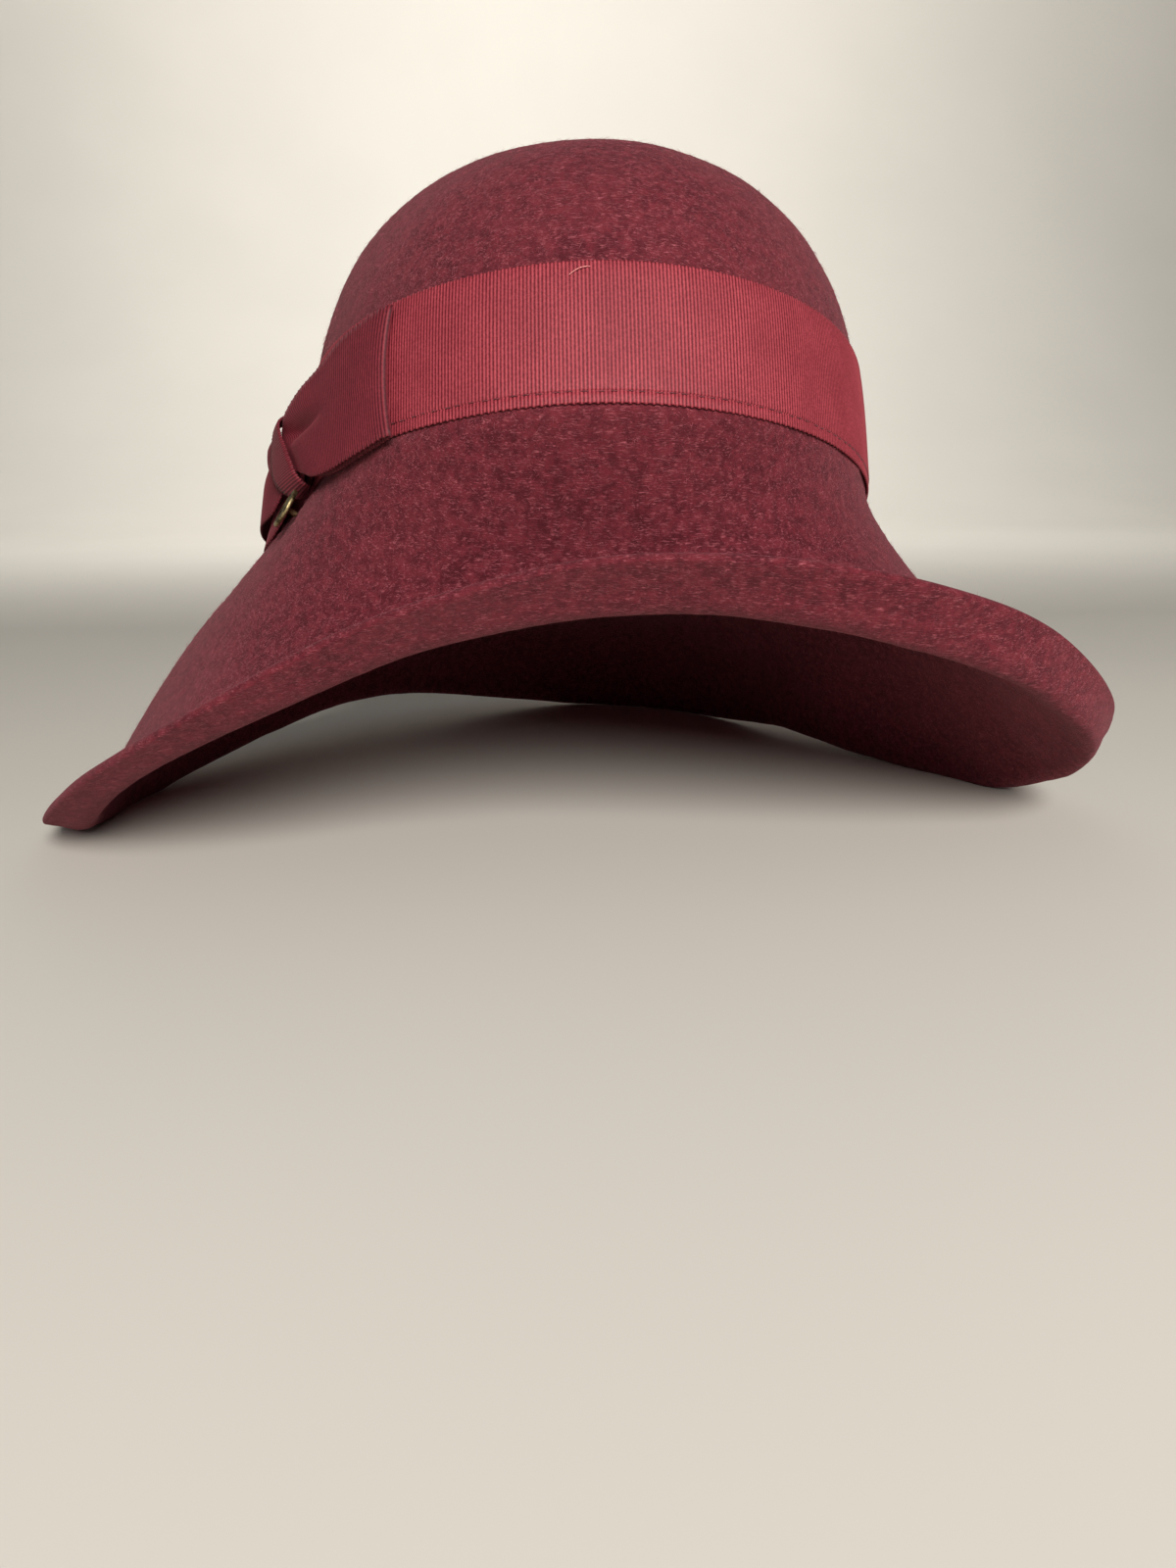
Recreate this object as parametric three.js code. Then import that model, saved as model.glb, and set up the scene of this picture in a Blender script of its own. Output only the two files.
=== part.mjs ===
// A felt cloche hat: a round crown and a wide drooping brim in one piece of felt, with a rolled rim,
// a ribbon round the crown, a flat ribbon bow on the wearer's right side and a small plain metal badge.
// Millimetres. The front is -Y, the wearer's right is -X, +Z is up. The hat rests on its brim at z = 0.
import * as THREE from 'three';

// ---------------------------------------------------------------- sizes
const FELT_THICKNESS = 2.4;
const HEAD_HALF_WIDTH = 84;        // outside of the crown at the head line
const HEAD_HALF_LENGTH = 103;
const HEAD_LINE_HEIGHT = 92;       // middle of the head line, as worn
const CROWN_HEIGHT = 93.5;         // from the head line, along the crown's own axis
const CROWN_BACK_TILT = 20.85;     // degrees: the front of the head line stands higher
const CROWN_SIDE_LEAN = 2.2;       // degrees
const WALL_SHARE = 0.11;           // share of the crown height that is a straight wall
const WALL_TAPER = 0.03;
const DOME_POWER = 2.84;           // roundness of the dome
const DOME_ROOT = 3.06;

const REST_PITCH = 3.14;           // degrees, from worn to lying on the brim: forward is positive
const REST_ROLL = -1.62;           // degrees, towards the wearer's left is positive
const REST_LIFT = -0.8;            // sets how deep the lowest felt is pressed flat where it lies
const ORIGIN_SHIFT = { x: 9.0, y: -22.2 };   // the origin is under the middle of the hat

// The rim as worn. deg 0 is the front, 90 the wearer's left (+X), 180 the back.
// bend: lowest line of the roll. edge: cut edge. r is the plan radius, z the height.
const RIM = [
  { deg: -180, bendR: 161, bendZ: -9.5, edgeR: 169, edgeZ: 8 },
  { deg: -165, bendR: 154, bendZ: -1, edgeR: 168, edgeZ: 12 },
  { deg: -150, bendR: 142, bendZ: 9, edgeR: 162, edgeZ: 18 },
  { deg: -135, bendR: 136, bendZ: 12.5, edgeR: 158, edgeZ: 19 },
  { deg: -120, bendR: 139, bendZ: 9, edgeR: 158, edgeZ: 14.5 },
  { deg: -105, bendR: 148, bendZ: 4.5, edgeR: 164, edgeZ: 8.5 },
  { deg: -90, bendR: 158, bendZ: 3, edgeR: 171, edgeZ: 7.5 },
  { deg: -75, bendR: 159, bendZ: 13.5, edgeR: 171.5, edgeZ: 17 },
  { deg: -60, bendR: 148, bendZ: 36.5, edgeR: 161, edgeZ: 39.5 },
  { deg: -45, bendR: 131, bendZ: 55.5, edgeR: 145, edgeZ: 61.5 },
  { deg: -30, bendR: 113, bendZ: 70.5, edgeR: 127, edgeZ: 81 },
  { deg: -15, bendR: 103, bendZ: 77.5, edgeR: 117, edgeZ: 91 },
  { deg: 0, bendR: 102, bendZ: 80.5, edgeR: 115, edgeZ: 96 },
  { deg: 15, bendR: 111, bendZ: 80, edgeR: 123, edgeZ: 95 },
  { deg: 30, bendR: 126, bendZ: 73, edgeR: 135, edgeZ: 88.5 },
  { deg: 45, bendR: 143, bendZ: 58.5, edgeR: 147.5, edgeZ: 74.5 },
  { deg: 60, bendR: 153, bendZ: 35, edgeR: 157, edgeZ: 49.5 },
  { deg: 75, bendR: 150, bendZ: 11.5, edgeR: 158, edgeZ: 24 },
  { deg: 90, bendR: 136, bendZ: -4.5, edgeR: 151, edgeZ: 4 },
  { deg: 105, bendR: 120, bendZ: -5.5, edgeR: 140, edgeZ: -1 },
  { deg: 120, bendR: 112, bendZ: -4, edgeR: 133, edgeZ: 2 },
  { deg: 135, bendR: 118, bendZ: -4, edgeR: 135, edgeZ: 7 },
  { deg: 150, bendR: 134, bendZ: -8.5, edgeR: 146, edgeZ: 9.5 },
  { deg: 165, bendR: 152, bendZ: -12, edgeR: 159, edgeZ: 8 },
];
const ROLL_REACH = 9;              // how far the roll's rounding reaches each side of the bend
const ROLL_FULLNESS = 0.6;         // 1 brings the rounded roll right out to the bend line
// side terms grow with the sine of the bearing: the brim flares sooner on the wearer's right than on the left
const BRIM_START = { mean: 0.1, side: -0.06 };                    // share of the brim's length that still follows the crown's wall
const BRIM_LEAN = { mean: 0.18, side: -0.65, sides: 0.35 };       // how far outwards that share leans
const BRIM_END = { mean: 0.7, side: 0.13 };                       // share that has turned to the rim's slope
const RIM_SLOPE = { mean: 55, frontToBack: -46, sides: -11.5, side: -2.5 };   // degrees down at the rim

const SEGMENTS = 72;               // round the hat
const CROWN_RINGS = 10;
const BRIM_RINGS = 8;
const ROLL_RINGS = 5;
const FLIP_RINGS = 2;

const GAP = 0.3;                   // air between neighbouring pieces
const RIBBON_THICKNESS = 0.6;
const RIBBON_WIDTH = 33.8;
const RIBBON_LOW = 0.5;            // above the head line
const TUCK_HEIGHT = 2.8;           // the band's folded lower hem
const TUCK_STEP = 0.3;

const BOW_THICKNESS = 0.8;
// Bow pieces, measured on the crown: for the ribbon's low and high edges deg round it, off the felt and height
// above the head line. dip sinks a fold into the ribbon round DIP.height, and bow curves a station sideways.
const DIP = { height: 14.4, reach: 2.8 };
const FRONT_LOOP = [
  { degLow: -66.4, offLow: 6.4, low: 3.6, degHigh: -73, offHigh: 8.8, high: 18.2, dip: 0, bow: 0 },
  { degLow: -63.9, offLow: 6, low: 2.4, degHigh: -71.5, offHigh: 8.9, high: 18.5, dip: 0.6, bow: 0 },
  { degLow: -59.4, offLow: 6, low: -0.6, degHigh: -68.3, offHigh: 8.9, high: 20.4, dip: 3.8, bow: 0 },
  { degLow: -55.4, offLow: 6.5, low: -3.2, degHigh: -63.1, offHigh: 6.8, high: 24, dip: 3.2, bow: 0 },
  { degLow: -50.5, offLow: 6.2, low: -4.2, degHigh: -57.2, offHigh: 4.4, high: 27, dip: 0.8, bow: 0 },
  { degLow: -45.8, offLow: 5.6, low: -3.5, degHigh: -49.8, offHigh: 3.8, high: 30, dip: 0, bow: 0 },
  { degLow: -41, offLow: 4.9, low: -2.3, degHigh: -43, offHigh: 3.8, high: 31, dip: -0.4, bow: -0.5 },
  { degLow: -37.6, offLow: 4.4, low: -1.1, degHigh: -38, offHigh: 4, high: 31.7, dip: 0, bow: -1.1 },
  { degLow: -36.2, offLow: 3.4, low: -0.9, degHigh: -36.6, offHigh: 3.2, high: 31.9, dip: 0, bow: -1.2 },
  { degLow: -37.6, offLow: 2.4, low: -0.9, degHigh: -38, offHigh: 2.3, high: 31.9, dip: 0, bow: -1.1 },
  { degLow: -43, offLow: 2.2, low: -2, degHigh: -45, offHigh: 2.1, high: 30.8, dip: 0, bow: -0.4 },
  { degLow: -48.5, offLow: 2.5, low: -3, degHigh: -54, offHigh: 2, high: 28.5, dip: 0, bow: 0 },
  { degLow: -54.2, offLow: 2.6, low: -2.8, degHigh: -62, offHigh: 2.2, high: 24, dip: 0, bow: 0 },
  { degLow: -59.4, offLow: 2.9, low: -0.5, degHigh: -68.3, offHigh: 3, high: 19.2, dip: 0, bow: 0 },
  { degLow: -63.9, offLow: 3.6, low: 2.6, degHigh: -71.5, offHigh: 4.7, high: 17, dip: 0, bow: 0 },
  { degLow: -66.4, offLow: 4.3, low: 3.8, degHigh: -73, offHigh: 5.3, high: 16.8, dip: 0, bow: 0 },
];
const BACK_LOOP = [
  { degLow: -68, offLow: 7.4, low: 2.8, degHigh: -74.6, offHigh: 10, high: 18.8, dip: 0, bow: 0 },
  { degLow: -69.8, offLow: 8.3, low: 0.4, degHigh: -76.4, offHigh: 10.5, high: 19, dip: 0, bow: 0 },
  { degLow: -75, offLow: 11.4, low: -4.2, degHigh: -81.5, offHigh: 12.8, high: 19.4, dip: 0.8, bow: 0 },
  { degLow: -85, offLow: 15.8, low: -3.4, degHigh: -90, offHigh: 15.4, high: 21.4, dip: 1.2, bow: 0 },
  { degLow: -97, offLow: 18.2, low: -2.6, degHigh: -99, offHigh: 15.8, high: 24.4, dip: 0.6, bow: 0 },
  { degLow: -109, offLow: 15.4, low: -1.2, degHigh: -110, offHigh: 13, high: 27.6, dip: 0, bow: 0 },
  { degLow: -119, offLow: 10.4, low: 0.4, degHigh: -119.5, offHigh: 8.8, high: 29.6, dip: 0, bow: 0 },
  { degLow: -126, offLow: 5.2, low: 1.2, degHigh: -126, offHigh: 5, high: 30.4, dip: 0, bow: 0 },
  { degLow: -128.2, offLow: 3.6, low: 1.4, degHigh: -128.2, offHigh: 3.8, high: 30.4, dip: 0, bow: 0 },
  { degLow: -126, offLow: 2.6, low: 1, degHigh: -126, offHigh: 2.4, high: 30, dip: 0, bow: 0 },
  { degLow: -118, offLow: 4.6, low: -0.4, degHigh: -118, offHigh: 2.8, high: 28.4, dip: 0, bow: 0 },
  { degLow: -107, offLow: 9, low: -3.6, degHigh: -107, offHigh: 4.8, high: 25.6, dip: 0, bow: 0 },
  { degLow: -95, offLow: 13.2, low: -7.4, degHigh: -96.5, offHigh: 6.4, high: 22.4, dip: 0, bow: 0 },
  { degLow: -84, offLow: 14.4, low: -11.2, degHigh: -87, offHigh: 7, high: 18.6, dip: 0, bow: 0 },
  { degLow: -75, offLow: 10.4, low: -9.6, degHigh: -80, offHigh: 6.4, high: 16.2, dip: 0, bow: 0 },
  { degLow: -69.8, offLow: 5.6, low: -1.8, degHigh: -76.4, offHigh: 6.2, high: 15.4, dip: 0, bow: 0 },
  { degLow: -67.6, offLow: 4.6, low: 2.6, degHigh: -74.6, offHigh: 5.6, high: 15.6, dip: 0, bow: 0 },
];
// The knot is a closed turn of ribbon round the pinched loops, given by its front and back edges.
const KNOT_TURN = [
  { degFront: -70, offFront: 10.3, front: 19.4, degBack: -75, offBack: 10.9, back: 20.2 },
  { degFront: -68.6, offFront: 10.1, front: 15.4, degBack: -74.6, offBack: 11.5, back: 15.4 },
  { degFront: -66.8, offFront: 9.1, front: 10.6, degBack: -73.6, offBack: 11.6, back: 10.2 },
  { degFront: -64.6, offFront: 8.3, front: 5.6, degBack: -72, offBack: 11.2, back: 4.8 },
  { degFront: -63.4, offFront: 7.3, front: 1.6, degBack: -69.8, offBack: 10, back: 0.8 },
  { degFront: -63.2, offFront: 5.5, front: -0.6, degBack: -68.6, offBack: 7.8, back: -1.8 },
  { degFront: -63.8, offFront: 3.5, front: -1.2, degBack: -68.4, offBack: 4.8, back: -2.6 },
  { degFront: -65, offFront: 2.3, front: 1.2, degBack: -69.4, offBack: 2.8, back: -0.4 },
  { degFront: -67, offFront: 2.1, front: 10, degBack: -72.6, offBack: 2.3, back: 9 },
  { degFront: -69.6, offFront: 2.2, front: 18, degBack: -75.5, offBack: 2.5, back: 18.4 },
  { degFront: -70.8, offFront: 4.5, front: 21.4, degBack: -76.3, offBack: 5, back: 21.9 },
  { degFront: -70.8, offFront: 8.4, front: 21.6, degBack: -76.1, offBack: 9, back: 22.2 },
];
// The badge stands off the felt on its pin. side, front and height place it on the crown's axes, and face is where it looks.
const BADGE = { radius: 5.7, thickness: 1.2, rim: 0.7, recess: 0.3, side: -83.95, front: 48.26, height: -8.33, faceSide: -0.814, faceFront: 0.355, faceUp: 0.46, pinRadius: 0.8, pinLength: 2.7 };

// ---------------------------------------------------------------- the crown's own frame
const rad = THREE.MathUtils.degToRad;
const V = (x, y, z) => new THREE.Vector3(x, y, z);
const tilt = rad(CROWN_BACK_TILT);
const lean = rad(CROWN_SIDE_LEAN);
const crownUp = V(Math.sin(lean) * Math.cos(tilt), Math.sin(tilt), Math.cos(lean) * Math.cos(tilt)).normalize();
const crownBack = V(0, Math.cos(tilt), -Math.sin(tilt));
crownBack.addScaledVector(crownUp, -crownBack.dot(crownUp)).normalize();
const crownSide = V(0, 0, 0).crossVectors(crownBack, crownUp);
const headCentre = V(0, 0, HEAD_LINE_HEIGHT);

function domeScale(height) {
  const share = THREE.MathUtils.clamp(height / CROWN_HEIGHT, 0, 1);
  const above = THREE.MathUtils.clamp((share - WALL_SHARE) / (1 - WALL_SHARE), 0, 1);
  return (1 - WALL_TAPER * share) * Math.pow(1 - Math.pow(above, DOME_POWER), 1 / DOME_ROOT);
}

// A point on the crown's outside, or off it by some distance along its plan normal.
function onCrown(deg, height, off = 0) {
  const a = rad(deg);
  const s = height >= 0 ? domeScale(height) : 1;
  const n = new THREE.Vector2(Math.sin(a) / HEAD_HALF_WIDTH, Math.cos(a) / HEAD_HALF_LENGTH).normalize();
  const side = s * HEAD_HALF_WIDTH * Math.sin(a) + off * n.x;
  const front = s * HEAD_HALF_LENGTH * Math.cos(a) + off * n.y;
  return headCentre.clone().addScaledVector(crownSide, side).addScaledVector(crownBack, -front).addScaledVector(crownUp, height);
}

// Height whose ring lies a given share of the way along the crown's profile, from the head line to the top.
const profileTable = (() => {
  const rows = [];
  let length = 0, last = null;
  for (let i = 0; i <= 400; i++) {
    const h = CROWN_HEIGHT * Math.sin((i / 400) * Math.PI / 2);
    const p = new THREE.Vector2(domeScale(h) * (HEAD_HALF_WIDTH + HEAD_HALF_LENGTH) / 2, h);
    if (last) length += p.distanceTo(last);
    rows.push({ h, length });
    last = p;
  }
  return rows.map((r) => ({ h: r.h, share: r.length / length }));
})();
function heightAtShare(share) {
  const k = profileTable.findIndex((r) => r.share >= share);
  if (k <= 0) return 0;
  const a = profileTable[k - 1], b = profileTable[k];
  return THREE.MathUtils.lerp(a.h, b.h, (share - a.share) / (b.share - a.share));
}

// ---------------------------------------------------------------- the rim, smooth all round
function periodic(rows, key, deg) {
  const step = 360 / rows.length;
  const u = ((deg - rows[0].deg) / step + rows.length * 4) % rows.length;
  const i = Math.floor(u), t = u - i;
  const at = (k) => rows[(k + rows.length) % rows.length][key];
  const [p0, p1, p2, p3] = [at(i - 1), at(i), at(i + 1), at(i + 2)];
  return p1 + 0.5 * t * (p2 - p0 + t * (2 * p0 - 5 * p1 + 4 * p2 - p3 + t * (3 * (p1 - p2) + p3 - p0)));
}
const plan = (deg, r, z) => V(r * Math.sin(rad(deg)), -r * Math.cos(rad(deg)), z);

// The felt's middle surface at one bearing: from just below the top of the crown to the cut edge.
function feltSection(deg) {
  const points = [];
  for (let i = 1; i <= CROWN_RINGS; i++) {
    const share = 1 - i / CROWN_RINGS;
    points.push(onCrown(deg, heightAtShare(share)));
  }
  const head = points[points.length - 1];
  const out = plan(deg, 1, 0);
  const bend = plan(deg, periodic(RIM, 'bendR', deg), periodic(RIM, 'bendZ', deg));
  const edge = plan(deg, periodic(RIM, 'edgeR', deg), periodic(RIM, 'edgeZ', deg));
  const span = bend.distanceTo(head);
  const s = Math.sin(rad(deg)), c = Math.cos(rad(deg));
  const slope = rad(RIM_SLOPE.mean + RIM_SLOPE.frontToBack * c + RIM_SLOPE.sides * (c * c - s * s) + RIM_SLOPE.side * s);
  const start = crownUp.clone().negate().addScaledVector(out, BRIM_LEAN.mean + BRIM_LEAN.side * s + BRIM_LEAN.sides * s * s).normalize();
  const end = out.clone().multiplyScalar(Math.cos(slope)).addScaledVector(V(0, 0, 1), -Math.sin(slope));
  const brim = new THREE.CubicBezierCurve3(head,
    head.clone().addScaledVector(start, span * (BRIM_START.mean + BRIM_START.side * s)),
    bend.clone().addScaledVector(end, -span * (BRIM_END.mean + BRIM_END.side * s)), bend);
  const length = brim.getLength();
  const flip = edge.distanceTo(bend);
  const reach = Math.min(ROLL_REACH, flip * 0.6);
  const upTo = 1 - reach / length;
  for (let i = 1; i <= BRIM_RINGS; i++) points.push(brim.getPointAt(upTo * i / BRIM_RINGS));
  const rollEnd = bend.clone().lerp(edge, reach / flip);
  const rollStart = points[points.length - 1].clone();
  const control = rollStart.clone().lerp(rollEnd, 0.5).lerp(bend, 1 + ROLL_FULLNESS);
  const roll = new THREE.QuadraticBezierCurve3(rollStart, control, rollEnd);
  for (let i = 1; i <= ROLL_RINGS; i++) points.push(roll.getPoint(i / ROLL_RINGS));
  for (let i = 1; i <= FLIP_RINGS; i++) points.push(rollEnd.clone().lerp(edge, i / FLIP_RINGS));
  return points;
}

// ---------------------------------------------------------------- closed meshes
function mesh(name, positions, index, colour, roughness, metalness) {
  const g = new THREE.BufferGeometry();
  const flat = [];
  for (const p of positions) flat.push(p.x, p.y, p.z);
  g.setAttribute('position', new THREE.Float32BufferAttribute(flat, 3));
  g.setIndex(index);
  g.computeVertexNormals();
  const m = new THREE.Mesh(g, new THREE.MeshStandardMaterial({ color: colour, roughness, metalness }));
  m.name = name;
  return m;
}

// From as worn to as it rests.
const restTurn = new THREE.Matrix4().makeRotationY(rad(REST_ROLL)).multiply(new THREE.Matrix4().makeRotationX(rad(REST_PITCH)));
const toRest = (p) => p.clone().applyMatrix4(restTurn).add(V(ORIGIN_SHIFT.x, ORIGIN_SHIFT.y, REST_LIFT));

function feltNormals(grid) {
  const rows = grid.length, cols = grid[0].length;
  return grid.map((row, i) => row.map((p, j) => {
    const along = grid[Math.min(i + 1, rows - 1)][j].clone().sub(grid[Math.max(i - 1, 0)][j]);
    const round = row[(j + 1) % cols].clone().sub(row[(j + cols - 1) % cols]);
    return round.cross(along).normalize();
  }));
}

function feltBody() {
  const sections = [];
  for (let j = 0; j < SEGMENTS; j++) sections.push(feltSection(j * 360 / SEGMENTS));
  const rows = sections[0].length;
  const grid = Array.from({ length: rows }, (_, i) => sections.map((s) => s[i]));
  const normals = feltNormals(grid);
  const top = onCrown(0, CROWN_HEIGHT);
  const outward = normals[0][0].dot(crownUp) > 0 ? 1 : -1;
  const crownRows = CROWN_RINGS;
  // the tables give the crown's outside and the roll's underside, so the wall grows inwards from each
  const positions = [];
  const layer = (sign) => {
    const first = positions.length;
    for (let i = 0; i < rows; i++) {
      const under = THREE.MathUtils.smoothstep(i, crownRows - 1, crownRows + BRIM_RINGS);
      for (let j = 0; j < SEGMENTS; j++) {
        const middle = THREE.MathUtils.lerp(-0.5, 0.5, under);
        const p = grid[i][j].clone().addScaledVector(normals[i][j], outward * FELT_THICKNESS * (middle + sign * 0.5));
        positions.push(p);
      }
    }
    positions.push(top.clone().addScaledVector(crownUp, FELT_THICKNESS * (-0.5 + sign * 0.5)));
    return first;
  };
  const outer = layer(1), inner = layer(-1);
  const index = [];
  const quad = (a, b, c, d) => index.push(a, b, c, a, c, d);
  const pole = rows * SEGMENTS;
  for (let j = 0; j < SEGMENTS; j++) {
    const k = (j + 1) % SEGMENTS;
    index.push(outer + pole, outer + j, outer + k);
    index.push(inner + pole, inner + k, inner + j);
    for (let i = 0; i + 1 < rows; i++) {
      const a = i * SEGMENTS + j, b = (i + 1) * SEGMENTS + j, c = (i + 1) * SEGMENTS + k, d = i * SEGMENTS + k;
      quad(outer + a, outer + b, outer + c, outer + d);
      quad(inner + a, inner + d, inner + c, inner + b);
    }
    const a = (rows - 1) * SEGMENTS + j, d = (rows - 1) * SEGMENTS + k;
    quad(outer + a, inner + a, inner + d, outer + d);
  }
  // where the felt lies on the table both its faces are pushed up together, so it keeps its thickness
  const rested = positions.map(toRest);
  for (let v = 0; v <= pole; v++) {
    const lift = Math.max(0, -rested[inner + v].z);
    rested[inner + v].z += lift;
    rested[outer + v].z += lift;
  }
  return mesh('felt_body', rested, index, 0x5e2431, 0.95, 0);
}

// A ring of any closed section swept round the crown: section rows are { off, height }.
function crownRing(name, section, colour) {
  const positions = [];
  for (let j = 0; j < SEGMENTS; j++)
    for (const s of section) positions.push(toRest(onCrown(j * 360 / SEGMENTS, s.height, s.off)));
  const n = section.length, index = [];
  for (let j = 0; j < SEGMENTS; j++)
    for (let i = 0; i < n; i++) {
      const k = (j + 1) % SEGMENTS, m = (i + 1) % n;
      const a = j * n + i, b = k * n + i, c = k * n + m, d = j * n + m;
      index.push(a, b, c, a, c, d);
    }
  return mesh(name, positions, index, colour, 0.8, 0);
}

function ribbonBand() {
  const low = RIBBON_LOW, tuck = RIBBON_LOW + TUCK_HEIGHT, high = RIBBON_LOW + RIBBON_WIDTH;
  const inside = GAP, hem = GAP + RIBBON_THICKNESS, outside = hem + TUCK_STEP;
  const middle = (tuck + high) / 2;
  return crownRing('ribbon_band', [
    { off: inside, height: low }, { off: hem, height: low }, { off: hem, height: tuck }, { off: outside, height: tuck + 0.15 },
    { off: outside, height: middle }, { off: outside, height: high }, { off: inside, height: high }, { off: inside, height: middle },
  ], 0x8a3444);
}

// A ribbon laid along a row of stations. Each station gives a line of points across the ribbon.
function ribbonSolid(name, lines, closed, thickness, colour) {
  const rows = lines.length, cols = lines[0].length;
  const at = (i, j) => lines[closed ? (i + rows) % rows : THREE.MathUtils.clamp(i, 0, rows - 1)][THREE.MathUtils.clamp(j, 0, cols - 1)];
  const positions = [];
  for (const sign of [0.5, -0.5])
    for (let i = 0; i < rows; i++)
      for (let j = 0; j < cols; j++) {
        const along = at(i + 1, j).clone().sub(at(i - 1, j));
        const across = at(i, j + 1).clone().sub(at(i, j - 1));
        const n = along.cross(across).normalize();
        positions.push(at(i, j).clone().addScaledVector(n, sign * thickness));
      }
  const index = [], half = rows * cols;
  const quad = (a, b, c, d) => index.push(a, b, c, a, c, d);
  const last = closed ? rows : rows - 1;
  for (let i = 0; i < last; i++) {
    const k = (i + 1) % rows;
    for (let j = 0; j + 1 < cols; j++) {
      const a = i * cols + j, b = k * cols + j, c = k * cols + j + 1, d = i * cols + j + 1;
      quad(a, b, c, d);
      quad(half + a, half + d, half + c, half + b);
    }
    quad(i * cols, half + i * cols, half + k * cols, k * cols);
    quad(i * cols + cols - 1, k * cols + cols - 1, half + k * cols + cols - 1, half + i * cols + cols - 1);
  }
  if (!closed)
    for (let j = 0; j + 1 < cols; j++) {
      const e = (rows - 1) * cols;
      quad(j, j + 1, half + j + 1, half + j);
      quad(e + j, half + e + j, half + e + j + 1, e + j + 1);
    }
  return mesh(name, positions.map(toRest), index, colour, 0.8, 0);
}

const edgeCurve = (rows, x, y, z, closed = false) => new THREE.CatmullRomCurve3(rows.map((r) => V(r[x], r[y], z ? r[z] : 0)), closed, 'catmullrom', 0.5);

function loopLines(rows, stations, across) {
  const low = edgeCurve(rows, 'degLow', 'offLow', 'low'), high = edgeCurve(rows, 'degHigh', 'offHigh', 'high');
  const fold = edgeCurve(rows, 'dip', 'bow');
  const lines = [];
  for (let i = 0; i <= stations; i++) {
    const from = low.getPoint(i / stations), to = high.getPoint(i / stations), f = fold.getPoint(i / stations);
    const line = [];
    for (let j = 0; j <= across; j++) {
      const u = j / across, w = from.clone().lerp(to, u);
      const sunk = f.x * Math.exp(-Math.pow((w.z - DIP.height) / DIP.reach, 2));
      line.push(onCrown(w.x + f.y * 4 * u * (1 - u), w.z, w.y - sunk));
    }
    lines.push(line);
  }
  return lines;
}

function bowKnot() {
  const front = edgeCurve(KNOT_TURN, 'degFront', 'offFront', 'front', true), back = edgeCurve(KNOT_TURN, 'degBack', 'offBack', 'back', true);
  const lines = [];
  const stations = 36, across = 4;
  for (let i = 0; i < stations; i++) {
    const from = front.getPoint(i / stations), to = back.getPoint(i / stations);
    const line = [];
    for (let j = 0; j <= across; j++) {
      const w = from.clone().lerp(to, j / across);
      line.push(onCrown(w.x, w.z, w.y));
    }
    lines.push(line);
  }
  return ribbonSolid('bow_knot', lines, true, BOW_THICKNESS, 0x8a3444);
}

function metalBadge() {
  const r = BADGE.radius, t = BADGE.thickness, w = BADGE.rim, d = BADGE.recess, pin = BADGE.pinRadius, stem = BADGE.pinLength;
  const profile = [[0, -stem], [pin, -stem], [pin, 0], [r - 0.3, 0], [r, 0.3], [r, t - 0.3], [r - 0.3, t], [r - w, t], [r - w - 0.2, t - d], [0, t - d]];
  const g = new THREE.LatheGeometry(profile.map(([x, y]) => new THREE.Vector2(x, y)), 40);
  const onAxes = (side, front, up) => crownSide.clone().multiplyScalar(side).addScaledVector(crownBack, -front).addScaledVector(crownUp, up);
  const face = onAxes(BADGE.faceSide, BADGE.faceFront, BADGE.faceUp).normalize();
  const along = crownBack.clone().addScaledVector(face, -face.dot(crownBack)).normalize();
  const cross = V(0, 0, 0).crossVectors(face, along);
  const centre = headCentre.clone().add(onAxes(BADGE.side, BADGE.front, BADGE.height));
  g.applyMatrix4(new THREE.Matrix4().makeBasis(cross, face, along).setPosition(centre));
  const positions = [];
  const attribute = g.getAttribute('position');
  for (let i = 0; i < attribute.count; i++) positions.push(toRest(V(0, 0, 0).fromBufferAttribute(attribute, i)));
  return mesh('metal_badge', positions, Array.from(g.getIndex().array), 0x8c8060, 0.45, 1);
}

const hat = new THREE.Group();
hat.name = 'cloche_hat';
hat.add(feltBody());
hat.add(ribbonBand());
hat.add(ribbonSolid('bow_front_loop', loopLines(FRONT_LOOP, 30, 8), false, BOW_THICKNESS, 0x8a3444));
hat.add(ribbonSolid('bow_back_loop', loopLines(BACK_LOOP, 32, 6), false, BOW_THICKNESS, 0x8a3444));
hat.add(bowKnot());
hat.add(metalBadge());
export default hat;
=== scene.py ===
import math

import bpy
import numpy as np
from mathutils import Matrix, Vector


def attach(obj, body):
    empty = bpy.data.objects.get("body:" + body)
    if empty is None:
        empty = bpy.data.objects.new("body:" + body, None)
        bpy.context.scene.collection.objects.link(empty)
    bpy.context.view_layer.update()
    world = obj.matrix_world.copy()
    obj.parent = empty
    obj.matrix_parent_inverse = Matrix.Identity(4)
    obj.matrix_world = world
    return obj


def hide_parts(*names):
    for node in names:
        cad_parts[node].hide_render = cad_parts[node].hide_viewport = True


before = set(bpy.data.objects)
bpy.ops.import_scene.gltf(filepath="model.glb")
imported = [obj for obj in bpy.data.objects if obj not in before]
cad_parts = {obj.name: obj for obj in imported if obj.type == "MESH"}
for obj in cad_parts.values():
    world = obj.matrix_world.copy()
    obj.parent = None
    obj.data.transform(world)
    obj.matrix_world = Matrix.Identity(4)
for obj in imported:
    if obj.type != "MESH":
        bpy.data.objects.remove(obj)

MM = 0.001

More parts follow.
